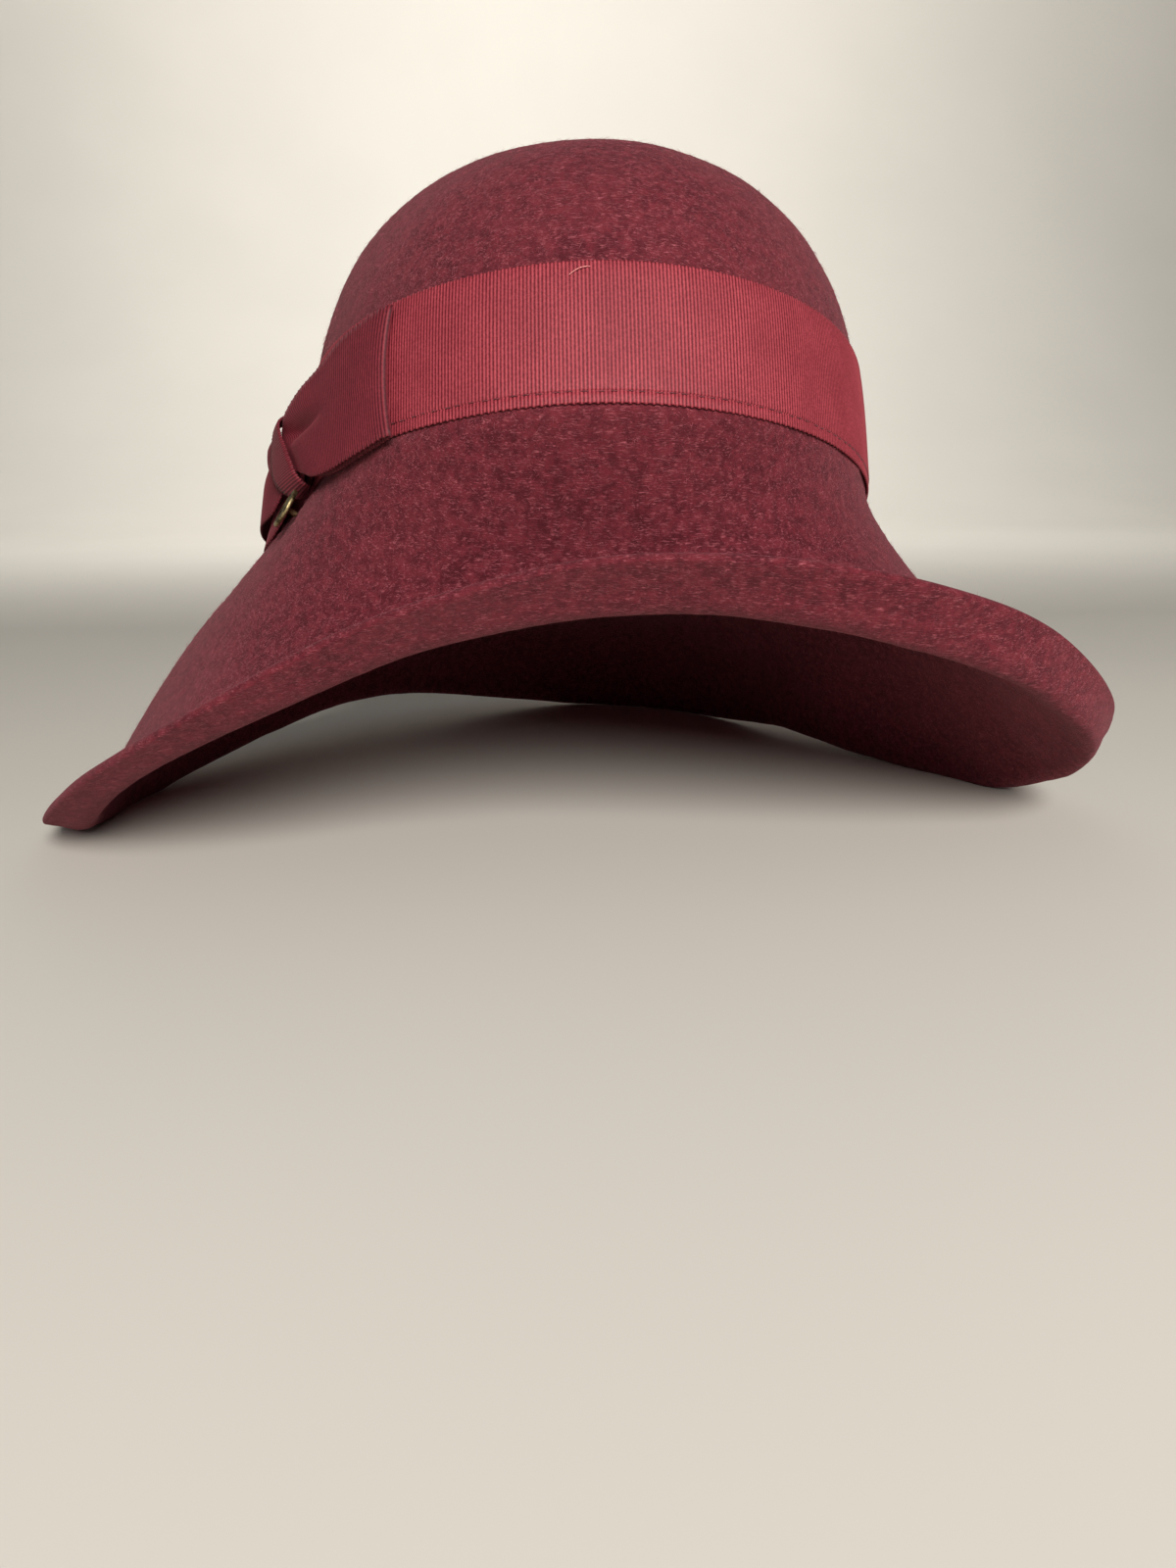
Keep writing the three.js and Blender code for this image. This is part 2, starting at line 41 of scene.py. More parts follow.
# ---------------------------------------------------------------- sizes, in millimetres as in the CAD
FELT_THICKNESS = 2.4
HEAD_HALF_WIDTH, HEAD_HALF_LENGTH, HEAD_LINE_HEIGHT = 84.0, 103.0, 92.0
CROWN_HEIGHT = 93.5
CROWN_BACK_TILT, CROWN_SIDE_LEAN = math.radians(20.85), math.radians(2.2)
WALL_SHARE, WALL_TAPER, DOME_POWER, DOME_ROOT = 0.11, 0.03, 2.84, 3.06
REST_PITCH, REST_ROLL = math.radians(3.14), math.radians(-1.62)
REST_SHIFT = np.array([9.0, -22.2, -0.8])

# The rim as worn: deg 0 is the front, 90 the wearer's left. bend is the roll's lowest line, edge the cut edge.
RIM_COLUMNS = ("deg", "bendR", "bendZ", "edgeR", "edgeZ")
RIM = (
    (-180, 161, -9.5, 169, 8), (-165, 154, -1, 168, 12), (-150, 142, 9, 162, 18), (-135, 136, 12.5, 158, 19),
    (-120, 139, 9, 158, 14.5), (-105, 148, 4.5, 164, 8.5), (-90, 158, 3, 171, 7.5), (-75, 159, 13.5, 171.5, 17),
    (-60, 148, 36.5, 161, 39.5), (-45, 131, 55.5, 145, 61.5), (-30, 113, 70.5, 127, 81), (-15, 103, 77.5, 117, 91),
    (0, 102, 80.5, 115, 96), (15, 111, 80, 123, 95), (30, 126, 73, 135, 88.5), (45, 143, 58.5, 147.5, 74.5),
    (60, 153, 35, 157, 49.5), (75, 150, 11.5, 158, 24), (90, 136, -4.5, 151, 4), (105, 120, -5.5, 140, -1),
    (120, 112, -4, 133, 2), (135, 118, -4, 135, 7), (150, 134, -8.5, 146, 9.5), (165, 152, -12, 159, 8),
)
ROLL_REACH, ROLL_FULLNESS = 9.0, 0.6
# side terms grow with the sine of the bearing: the brim flares sooner on the wearer's right than on the left
BRIM_START = {"mean": 0.1, "side": -0.06}
BRIM_LEAN = {"mean": 0.18, "side": -0.65, "sides": 0.35}
BRIM_END = {"mean": 0.7, "side": 0.13}
RIM_SLOPE = {"mean": 55.0, "frontToBack": -46.0, "sides": -11.5, "side": -2.5}

GAP = 0.3
RIBBON_THICKNESS, RIBBON_WIDTH, RIBBON_LOW = 0.6, 33.8, 0.5
TUCK_HEIGHT, TUCK_STEP = 2.8, 0.3
BOW_THICKNESS = 0.8
RIB_PITCH, RIB_DEPTH = 0.92, 0.085       # the grosgrain's ribs
PICOT_PITCH, PICOT_DEPTH = 1.84, 0.32    # the scalloped selvedge
STEPS_PER_RIB = 4

# Bow, measured on the crown: for a ribbon's low and high edges, deg round it, off the felt and height above the head line.
LOOP_COLUMNS = ("degLow", "offLow", "low", "degHigh", "offHigh", "high", "dip", "bow")
DIP_HEIGHT, DIP_REACH = 14.4, 2.8
FRONT_LOOP = (
    (-66.4, 6.4, 3.6, -73, 8.8, 18.2, 0, 0), (-63.9, 6, 2.4, -71.5, 8.9, 18.5, 0.6, 0),
    (-59.4, 6, -0.6, -68.3, 8.9, 20.4, 3.8, 0), (-55.4, 6.5, -3.2, -63.1, 6.8, 24, 3.2, 0),
    (-50.5, 6.2, -4.2, -57.2, 4.4, 27, 0.8, 0), (-45.8, 5.6, -3.5, -49.8, 3.8, 30, 0, 0),
    (-41, 4.9, -2.3, -43, 3.8, 31, -0.4, -0.5), (-37.6, 4.4, -1.1, -38, 4, 31.7, 0, -1.1),
    (-36.2, 3.4, -0.9, -36.6, 3.2, 31.9, 0, -1.2), (-37.6, 2.4, -0.9, -38, 2.3, 31.9, 0, -1.1),
    (-43, 2.2, -2, -45, 2.1, 30.8, 0, -0.4), (-48.5, 2.5, -3, -54, 2, 28.5, 0, 0),
    (-54.2, 2.6, -2.8, -62, 2.2, 24, 0, 0), (-59.4, 2.9, -0.5, -68.3, 3, 19.2, 0, 0),
    (-63.9, 3.6, 2.6, -71.5, 4.7, 17, 0, 0), (-66.4, 4.3, 3.8, -73, 5.3, 16.8, 0, 0),
)
BACK_LOOP = (
    (-68, 7.4, 2.8, -74.6, 10, 18.8, 0, 0), (-69.8, 8.3, 0.4, -76.4, 10.5, 19, 0, 0),
    (-75, 11.4, -4.2, -81.5, 12.8, 19.4, 0.8, 0), (-85, 15.8, -3.4, -90, 15.4, 21.4, 1.2, 0),
    (-97, 18.2, -2.6, -99, 15.8, 24.4, 0.6, 0), (-109, 15.4, -1.2, -110, 13, 27.6, 0, 0),
    (-119, 10.4, 0.4, -119.5, 8.8, 29.6, 0, 0), (-126, 5.2, 1.2, -126, 5, 30.4, 0, 0),
    (-128.2, 3.6, 1.4, -128.2, 3.8, 30.4, 0, 0), (-126, 2.6, 1, -126, 2.4, 30, 0, 0),
    (-118, 4.6, -0.4, -118, 2.8, 28.4, 0, 0), (-107, 9, -3.6, -107, 4.8, 25.6, 0, 0),
    (-95, 13.2, -7.4, -96.5, 6.4, 22.4, 0, 0), (-84, 14.4, -11.2, -87, 7, 18.6, 0, 0),
    (-75, 10.4, -9.6, -80, 6.4, 16.2, 0, 0), (-69.8, 5.6, -1.8, -76.4, 6.2, 15.4, 0, 0),
    (-67.6, 4.6, 2.6, -74.6, 5.6, 15.6, 0, 0),
)
KNOT_COLUMNS = ("degFront", "offFront", "front", "degBack", "offBack", "back")
KNOT_TURN = (
    (-70, 10.3, 19.4, -75, 10.9, 20.2), (-68.6, 10.1, 15.4, -74.6, 11.5, 15.4), (-66.8, 9.1, 10.6, -73.6, 11.6, 10.2),
    (-64.6, 8.3, 5.6, -72, 11.2, 4.8), (-63.4, 7.3, 1.6, -69.8, 10, 0.8), (-63.2, 5.5, -0.6, -68.6, 7.8, -1.8),
    (-63.8, 3.5, -1.2, -68.4, 4.8, -2.6), (-65, 2.3, 1.2, -69.4, 2.8, -0.4), (-67, 2.1, 10, -72.6, 2.3, 9),
    (-69.6, 2.2, 18, -75.5, 2.5, 18.4), (-70.8, 4.5, 21.4, -76.3, 5, 21.9), (-70.8, 8.4, 21.6, -76.1, 9, 22.2),
)
BADGE = {"radius": 5.7, "thickness": 1.2, "rim": 0.7, "recess": 0.3, "side": -83.95, "front": 48.26, "height": -8.33,
         "faceSide": -0.814, "faceFront": 0.355, "faceUp": 0.46, "pinRadius": 0.8, "pinLength": 2.7}

# ---------------------------------------------------------------- the crown's own frame, as in the CAD


def unit(v):
    return v / np.linalg.norm(v, axis=-1, keepdims=True)


UP = np.array([0.0, 0.0, 1.0])
crown_up = unit(np.array([
    math.sin(CROWN_SIDE_LEAN) * math.cos(CROWN_BACK_TILT), math.sin(CROWN_BACK_TILT),
    math.cos(CROWN_SIDE_LEAN) * math.cos(CROWN_BACK_TILT)]))
crown_back = np.array([0.0, math.cos(CROWN_BACK_TILT), -math.sin(CROWN_BACK_TILT)])
crown_back = unit(crown_back - crown_up * (crown_back @ crown_up))
crown_side = np.cross(crown_back, crown_up)
head_centre = np.array([0.0, 0.0, HEAD_LINE_HEIGHT])


def turn_x(a):
    c, s = math.cos(a), math.sin(a)
    return np.array([[1, 0, 0], [0, c, -s], [0, s, c]])


def turn_y(a):
    c, s = math.cos(a), math.sin(a)
    return np.array([[c, 0, s], [0, 1, 0], [-s, 0, c]])


rest_turn = turn_y(REST_ROLL) @ turn_x(REST_PITCH)


def to_rest(p):
    return np.asarray(p) @ rest_turn.T + REST_SHIFT


def dome_scale(height):
    share = np.clip(np.asarray(height, float) / CROWN_HEIGHT, 0, 1)
    above = np.clip((share - WALL_SHARE) / (1 - WALL_SHARE), 0, 1)
    return (1 - WALL_TAPER * share) * (1 - above ** DOME_POWER) ** (1 / DOME_ROOT)


def on_crown(deg, height, off=0.0):
    deg, height, off = np.broadcast_arrays(np.asarray(deg, float), np.asarray(height, float), np.asarray(off, float))
    a = np.radians(deg)
    s = np.where(height >= 0, dome_scale(height), 1.0)
    nx, ny = np.sin(a) / HEAD_HALF_WIDTH, np.cos(a) / HEAD_HALF_LENGTH
    n = np.hypot(nx, ny)
    side = s * HEAD_HALF_WIDTH * np.sin(a) + off * nx / n
    front = s * HEAD_HALF_LENGTH * np.cos(a) + off * ny / n
    return head_centre + side[..., None] * crown_side - front[..., None] * crown_back + height[..., None] * crown_up


profile_h = CROWN_HEIGHT * np.sin(np.linspace(0, math.pi / 2, 401))
profile_r = dome_scale(profile_h) * (HEAD_HALF_WIDTH + HEAD_HALF_LENGTH) / 2
profile_share = np.concatenate([[0], np.cumsum(np.hypot(np.diff(profile_h), np.diff(profile_r)))])
profile_share /= profile_share[-1]


def rim_column(name, deg):
    """A column of the rim's table at any bearing, as one smooth closed curve."""
    values = np.array([row[RIM_COLUMNS.index(name)] for row in RIM], float)
    u = (np.asarray(deg, float) - RIM[0][0]) / (360 / len(RIM)) % len(RIM)
    i = np.floor(u).astype(int)
    t = u - i
    p0, p1, p2, p3 = (values[(i + k) % len(RIM)] for k in (-1, 0, 1, 2))
    return p1 + 0.5 * t * (p2 - p0 + t * (2 * p0 - 5 * p1 + 4 * p2 - p3 + t * (3 * (p1 - p2) + p3 - p0)))


def plan(deg, r, z):
    a = np.radians(deg)
    return np.stack([r * np.sin(a), -r * np.cos(a), z * np.ones_like(a)], -1)


def table_curve(rows, columns, count, closed=False):
    """The rows joined by smooth curves, at count places from the first row to the last, or back to the first."""
    rows = np.array(rows, float)
    if closed:
        ext = np.vstack([rows[-1:], rows, rows[:2]])
    else:
        ext = np.vstack([2 * rows[0] - rows[1], rows, 2 * rows[-1] - rows[-2]])
    spans = len(ext) - 3
    u = np.linspace(0, spans, count)
    i = np.minimum(u.astype(int), spans - 1)
    t = (u - i)[:, None]
    p0, p1, p2, p3 = (ext[i + k] for k in range(4))
    out = p1 + 0.5 * t * (p2 - p0 + t * (2 * p0 - 5 * p1 + 4 * p2 - p3 + t * (3 * (p1 - p2) + p3 - p0)))
    return {name: out[:, k] for k, name in enumerate(columns)}


# ---------------------------------------------------------------- materials
def colour(r, g, b):
    """An sRGB colour, 0 to 255, as Blender's linear one."""
    return tuple((c / 255 / 12.92 if c / 255 <= 0.04045 else ((c / 255 + 0.055) / 1.055) ** 2.4) for c in (r, g, b)) + (1.0,)


class Nodes:
    def __init__(self, name):
        self.material = bpy.data.materials.new(name)
        self.material.use_nodes = True
        self.tree = self.material.node_tree
        self.shader = self.tree.nodes["Principled BSDF"]

    def add(self, kind, **settings):
        n = self.tree.nodes.new(kind)
        for k, v in settings.items():
            setattr(n, k, v)
        return n

    def link(self, a, b):
        self.tree.links.new(a, b)

    def put(self, socket, value):
        if isinstance(value, bpy.types.NodeSocket):
            self.link(value, socket)
        else:
            socket.default_value = value

    def math(self, op, a, b=None, c=None, clamp=False):
        n = self.add("ShaderNodeMath", operation=op, use_clamp=clamp)
        for k, v in enumerate((a, b, c)):
            if v is not None:
                self.put(n.inputs[k], v)
        return n.outputs[0]

    def coords(self, kind, scale, turn=(0, 0, 0)):
        t = self.add("ShaderNodeTexCoord")
        m = self.add("ShaderNodeMapping")
        m.inputs["Scale"].default_value = scale
        m.inputs["Rotation"].default_value = turn
        self.link(t.outputs[kind], m.inputs["Vector"])
        return m.outputs["Vector"]

    def noise(self, vector, scale=1.0, detail=2.0, rough=0.5, distortion=0.0):
        n = self.add("ShaderNodeTexNoise")
        self.link(vector, n.inputs["Vector"])
        n.inputs["Scale"].default_value = scale
        n.inputs["Detail"].default_value = detail
        n.inputs["Roughness"].default_value = rough
        n.inputs["Distortion"].default_value = distortion
        return n.outputs["Fac"]

    def spread(self, value, low, high, to_low=0.0, to_high=1.0, smooth=True):
        n = self.add("ShaderNodeMapRange", interpolation_type="SMOOTHSTEP" if smooth else "LINEAR")
        self.put(n.inputs["Value"], value)
        for k, v in (("From Min", low), ("From Max", high), ("To Min", to_low), ("To Max", to_high)):
            n.inputs[k].default_value = v
        return n.outputs[0]

    def mix(self, fac, a, b):
        n = self.add("ShaderNodeMix", data_type="RGBA")
        self.put(n.inputs["Factor"], fac)
        self.put(n.inputs[6], a)
        self.put(n.inputs[7], b)
        return n.outputs[2]

    def bump(self, height, strength, distance, below=None):
        n = self.add("ShaderNodeBump")
        n.inputs["Strength"].default_value = strength
        n.inputs["Distance"].default_value = distance
        self.put(n.inputs["Height"], height)
        if below is not None:
            self.link(below, n.inputs["Normal"])
        return n.outputs["Normal"]

    def finish(self, base, normal=None, **sockets):
        self.put(self.shader.inputs["Base Color"], base)
        if normal is not None:
            self.link(normal, self.shader.inputs["Normal"])
        for k, v in sockets.items():
            self.shader.inputs[k.replace("_", " ")].default_value = v
        return self.material


FELT_DARK, FELT_MID, FELT_FLECK = colour(72, 18, 28), colour(106, 34, 45), colour(172, 92, 102)
FIBRE_TURNS = ((0.3, 0.2, 0.5), (1.2, 0.7, 1.9), (0.5, 1.5, 2.7), (1.9, 2.3, 0.9))


def felt_material():
    m = Nodes("marled_wool_felt")
    plain = m.coords("Object", (1000, 1000, 1000))
    # loose clouds of colour, a few millimetres across
    cloud = m.noise(plain, scale=0.34, detail=3, rough=0.65)
    broad = m.noise(plain, scale=0.05, detail=2)
    base = m.mix(m.spread(cloud, 0.34, 0.68), FELT_DARK, FELT_MID)
    base = m.mix(m.spread(broad, 0.3, 0.7, 0.0, 0.3), base, colour(108, 40, 48))
    # short paler fibres, lying every way
    fibres = None
    for k, turn in enumerate(FIBRE_TURNS):
        v = m.coords("Object", (430, 2900, 2900), turn)
        f = m.spread(m.noise(v, scale=1.0, detail=1.5, rough=0.6, distortion=0.6), 0.56, 0.74)
        fibres = f if fibres is None else m.math("MAXIMUM", fibres, f)
    patch = m.spread(m.noise(plain, scale=0.8, detail=2), 0.38, 0.66, 0.15, 1.0)
    shown = m.math("MULTIPLY", fibres, patch)
    base = m.mix(m.math("MULTIPLY", shown, 0.7), base, FELT_FLECK)
    pores = m.spread(m.noise(plain, scale=2.3, detail=2, rough=0.6), 0.30, 0.46, 0.45, 0.0)
    base = m.mix(pores, base, colour(52, 10, 20))
    height = m.math("ADD", m.math("MULTIPLY", fibres, 0.6), m.noise(plain, scale=1.7, detail=3, rough=0.7))
    return m.finish(base, m.bump(height, 0.5, 0.0005), Roughness=0.92, Sheen_Weight=0.25, Sheen_Roughness=0.45,
                    Sheen_Tint=colour(214, 140, 150), Specular_IOR_Level=0.2)


def ribbon_material(name, lit_crest, shaded_groove):
    """Grosgrain: u is along the ribbon and v across it, in millimetres, so the ribs run across."""
    m = Nodes(name)
    uv = m.add("ShaderNodeTexCoord").outputs["UV"]
    parts = m.add("ShaderNodeSeparateXYZ")
    m.link(uv, parts.inputs[0])
    plain = m.coords("Object", (1000, 1000, 1000))
    rib = m.math("MULTIPLY_ADD", m.math("COSINE", m.math("MULTIPLY", parts.outputs[0], 2 * math.pi / RIB_PITCH)), 0.5, 0.5)
    thread = m.math("MULTIPLY_ADD", m.math("COSINE", m.math("MULTIPLY", parts.outputs[1], 2 * math.pi / 0.3)), 0.5, 0.5)
    uneven = m.noise(plain, scale=1.6, detail=2, rough=0.6)
    soft = m.noise(plain, scale=0.09, detail=2)
    # painted shade: the ribs' grooves, and more faintly the weft's fine lines, take the darker groove colour where
    # shade falls between them, and the rib tops take the lit crest colour
    base = m.mix(m.math("MULTIPLY_ADD", rib, 0.85, m.spread(uneven, 0.3, 0.7, -0.15, 0.15), clamp=True), shaded_groove, lit_crest)
    base = m.mix(m.math("MULTIPLY", thread, 0.14), base, shaded_groove)
    base = m.mix(m.spread(soft, 0.35, 0.65, 0.0, 0.18), base, shaded_groove)
    height = m.math("MULTIPLY_ADD", thread, 0.25, m.math("MULTIPLY", uneven, 0.5))
    return m.finish(base, m.bump(height, 0.35, 0.0001), Roughness=0.62, Sheen_Weight=0.12, Sheen_Roughness=0.4,
                    Sheen_Tint=colour(235, 150, 160), Specular_IOR_Level=0.35)


def thread_material(name, dark, light):
    m = Nodes(name)
    plain = m.coords("Object", (1000, 1000, 1000))
    base = m.mix(m.spread(m.noise(plain, scale=2.5, detail=2), 0.35, 0.65), dark, light)
    return m.finish(base, m.bump(m.noise(plain, scale=4.0, detail=2), 0.3, 0.0001), Roughness=0.6, Sheen_Weight=0.2)


def brass_material():
    m = Nodes("aged_brass")
    plain = m.coords("Object", (1000, 1000, 1000))
    tarnish = m.spread(m.noise(plain, scale=0.55, detail=4, rough=0.65), 0.38, 0.66)
    base = m.mix(tarnish, colour(168, 152, 112), colour(84, 72, 50))
    rough = m.spread(m.noise(plain, scale=1.2, detail=3), 0.3, 0.7, 0.34, 0.6)
    m.link(rough, m.shader.inputs["Roughness"])
    return m.finish(base, m.bump(m.noise(plain, scale=3.0, detail=3), 0.12, 0.0001), Metallic=1.0)


# ---------------------------------------------------------------- meshes
def solid(name, points, faces, material, uv=None, smooth=True):
    """A closed mesh from points as worn, in millimetres. It is laid at rest, in metres."""
    me = bpy.data.meshes.new(name)
    me.from_pydata((to_rest(points) * MM).tolist(), [], [list(f) for f in faces])
    if uv is not None:
        layer = me.uv_layers.new(name="UVMap")
        corner = np.empty(len(me.loops), int)
        me.loops.foreach_get("vertex_index", corner)
        layer.data.foreach_set("uv", np.asarray(uv, np.float32)[corner].ravel())
    me.polygons.foreach_set("use_smooth", [smooth] * len(me.polygons))
    me.materials.append(material)
    me.update()
    o = bpy.data.objects.new(name, me)
    bpy.context.scene.collection.objects.link(o)
    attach(o, "root")
    return o


def grid_quads(rows, cols, round_cols, first=0, flip=False):
    """Quads between neighbouring rows of a grid of points, closed round the columns or not."""
    i = np.arange(rows - 1)[:, None]
    j = np.arange(cols if round_cols else cols - 1)[None, :]
    k = (j + 1) % cols
    a, b, c, d = (first + x for x in (i * cols + j, (i + 1) * cols + j, (i + 1) * cols + k, i * cols + k))
    q = np.stack([a, d, c, b] if flip else [a, b, c, d], -1)
    return q.reshape(-1, 4).tolist()


def smoothstep(x, low, high):
    t = np.clip((np.asarray(x, float) - low) / (high - low), 0, 1)
    return t * t * (3 - 2 * t)


# ---------------------------------------------------------------- felt
FELT_COLUMNS = 320
CROWN_ROWS, BRIM_ROWS, ROLL_ROWS, FLIP_ROWS, EDGE_ROWS = 54, 46, 16, 12, 6
CAD_BRIM_RINGS = 8
EDGE_ROUND = 0.9


def felt_surface(deg):
    """Rows of the felt's surface from near the top of the crown to the cut edge, and how far each has passed to the roll's underside."""
    share = 1 - np.arange(1, CROWN_ROWS + 1) / CROWN_ROWS
    share[0] = 1 - 0.35 / CROWN_ROWS
    heights = np.interp(share, profile_share, profile_h)
    crown = on_crown(deg[None, :], heights[:, None])
    head = crown[-1]
    out = plan(deg, np.ones_like(deg), 0.0)
    bend = plan(deg, rim_column("bendR", deg), rim_column("bendZ", deg))
    edge = plan(deg, rim_column("edgeR", deg), rim_column("edgeZ", deg))
    span = np.linalg.norm(bend - head, axis=1)[:, None]
    s, c = np.sin(np.radians(deg)), np.cos(np.radians(deg))
    slope = np.radians(RIM_SLOPE["mean"] + RIM_SLOPE["frontToBack"] * c + RIM_SLOPE["sides"] * (c * c - s * s) + RIM_SLOPE["side"] * s)[:, None]
    start = unit(-crown_up + (BRIM_LEAN["mean"] + BRIM_LEAN["side"] * s + BRIM_LEAN["sides"] * s * s)[:, None] * out)
    end = out * np.cos(slope) - UP * np.sin(slope)
    c1 = head + start * span * (BRIM_START["mean"] + BRIM_START["side"] * s)[:, None]
    c2 = bend - end * span * (BRIM_END["mean"] + BRIM_END["side"] * s)[:, None]
    t = np.linspace(0, 1, 201)[:, None, None]
    dense = head * (1 - t) ** 3 + 3 * c1 * t * (1 - t) ** 2 + 3 * c2 * t * t * (1 - t) + bend * t ** 3
    walked = np.concatenate([np.zeros((1, len(deg))), np.cumsum(np.linalg.norm(np.diff(dense, axis=0), axis=2), axis=0)])
    flip = np.linalg.norm(edge - bend, axis=1)
    reach = np.minimum(ROLL_REACH, flip * 0.6)
    up_to = 1 - reach / walked[-1]
    brim = np.empty((BRIM_ROWS, len(deg), 3))
    steps = np.arange(1, BRIM_ROWS + 1) / BRIM_ROWS
    for j in range(len(deg)):
        at = steps * up_to[j] * walked[-1, j]
        for axis in range(3):
            brim[:, j, axis] = np.interp(at, walked[:, j], dense[:, j, axis])
    roll_end = bend + (edge - bend) * (reach / flip)[:, None]
    roll_start = brim[-1]
    chord = (roll_start + roll_end) / 2
    control = chord + (bend - chord) * (1 + ROLL_FULLNESS)
    t = (np.arange(1, ROLL_ROWS + 1) / ROLL_ROWS)[:, None, None]
    roll = roll_start * (1 - t) ** 2 + 2 * control * t * (1 - t) + roll_end * t * t
    t = (np.arange(1, FLIP_ROWS + 1) / FLIP_ROWS)[:, None, None]
    inset = unit(edge - roll_end) * EDGE_ROUND
    flipped = roll_end + (edge - inset - roll_end) * t
    passed = np.concatenate([np.zeros(CROWN_ROWS), steps * CAD_BRIM_RINGS / (CAD_BRIM_RINGS + 1), np.ones(ROLL_ROWS + FLIP_ROWS)])
    return np.concatenate([crown, brim, roll, flipped]), smoothstep(passed, 0, 1), inset


def surface_normals(grid):
    along = np.empty_like(grid)
    along[1:-1] = grid[2:] - grid[:-2]
    along[0], along[-1] = grid[1] - grid[0], grid[-1] - grid[-2]
    around = np.roll(grid, -1, 1) - np.roll(grid, 1, 1)
    return unit(np.cross(around, along))


def waves(points, pitch, seed, terms=9):
    """A smooth random field of about unit height, as a sum of plane waves."""
    r = np.random.default_rng(seed)
    total = np.zeros(points.shape[:-1])
    for _ in range(terms):
        direction = unit(r.normal(size=3))
        total += np.sin(points @ direction * (2 * math.pi / (pitch * r.uniform(0.7, 1.6))) + r.uniform(0, 6.28))
    return total / math.sqrt(terms)


def felt_layers():
    deg = np.arange(FELT_COLUMNS) * 360 / FELT_COLUMNS
    grid, under, inset = felt_surface(deg)
    normals = surface_normals(grid)
    if normals[0, 0] @ crown_up < 0:
        normals = -normals
    middle = (under - 0.5)[:, None, None]
    half = FELT_THICKNESS / 2
    centre = grid + normals * FELT_THICKNESS * middle
    # the blocked felt isn't perfectly even
    centre = centre + normals * (0.16 * waves(grid, 26, 3) * smoothstep(np.arange(len(grid)), 8, 24)[:, None])[..., None]
    rows = [centre + normals * half]
    arc = []
    for k in range(1, EDGE_ROWS + 1):
        a = math.pi * k / (EDGE_ROWS + 1)
        arc.append(centre[-1] + inset * math.sin(a) ** 0.8 + normals[-1] * half * math.cos(a))
    inner = (centre - normals * half)[::-1]
    rough = np.concatenate([rows[0], np.array(arc), inner])
    # nap that stands a little above the skin
    outward = np.concatenate([normals, np.repeat(normals[-1:], EDGE_ROWS, 0) * 0, -normals[::-1]])
    rough = rough + outward * (0.05 * waves(rough, 2.6, 11, 14))[..., None]
    return rough, centre, normals


def felt_hat():
    loops, centre, normals = felt_layers()
    rows = len(loops)
    half_rows = len(centre)
    rested = to_rest(loops)
    # the lower face rests at z = 0, and the upper face over it rises as far
    low = rested.copy()
    for i in range(half_rows):
        j = rows - 1 - i
        lift = np.maximum(0, -low[j, :, 2])
        rested[i, :, 2] += lift
        rested[j, :, 2] += lift
    rested[..., 2] = np.maximum(rested[..., 2], 0)
    back = (rested - REST_SHIFT) @ rest_turn
    points = back.reshape(-1, 3)
    top = on_crown(0, CROWN_HEIGHT)
    points = np.vstack([points, top, top - crown_up * FELT_THICKNESS])
    faces = grid_quads(rows, FELT_COLUMNS, True)
    pole_out, pole_in = len(points) - 2, len(points) - 1
    last = (rows - 1) * FELT_COLUMNS
    for j in range(FELT_COLUMNS):
        k = (j + 1) % FELT_COLUMNS
        faces.append((pole_out, j, k))
        faces.append((pole_in, last + k, last + j))
    return solid("felt_hat_body", points, faces, felt, None), back[:half_rows], normals


# ---------------------------------------------------------------- ribbon
def ribbed(lines, thickness, closed, picot=True, phase=0.0):
    """A ribbon along rows of points, each row running across it: closed, ribbed on both faces, with scalloped edges."""
    rows, cols = lines.shape[:2]
    if closed:
        ahead, behind = np.roll(lines, -1, 0), np.roll(lines, 1, 0)
    else:
        ahead, behind = np.vstack([lines[1:], lines[-1:]]), np.vstack([lines[:1], lines[:-1]])
    along = unit(ahead - behind)
    across = np.empty_like(lines)
    across[:, 1:-1] = lines[:, 2:] - lines[:, :-2]
    across[:, 0], across[:, -1] = lines[:, 1] - lines[:, 0], lines[:, -1] - lines[:, -2]
    across = unit(across)
    n = unit(np.cross(along, across))
    middle = lines[:, cols // 2]
    step = np.linalg.norm(np.diff(middle, axis=0), axis=1)
    s = np.concatenate([[0], np.cumsum(step)]) + phase
    rib = np.cos(2 * math.pi * s / RIB_PITCH)[:, None, None]
    shape = np.array(lines)
    if picot:
        scallop = (PICOT_DEPTH * np.abs(np.sin(math.pi * s / PICOT_PITCH)))[:, None]
        shape[:, 0] -= across[:, 0] * scallop
        shape[:, -1] += across[:, -1] * scallop
    half = thickness / 2
    upper = shape + n * (half + RIB_DEPTH * rib)
    lower = shape - n * (half + RIB_DEPTH * rib)
    width = np.concatenate([np.zeros((rows, 1)), np.cumsum(np.linalg.norm(np.diff(lines, axis=1), axis=2), axis=1)], 1)
    uv = np.stack([np.repeat(s[:, None], cols, 1), width], -1)
    return upper, lower, uv


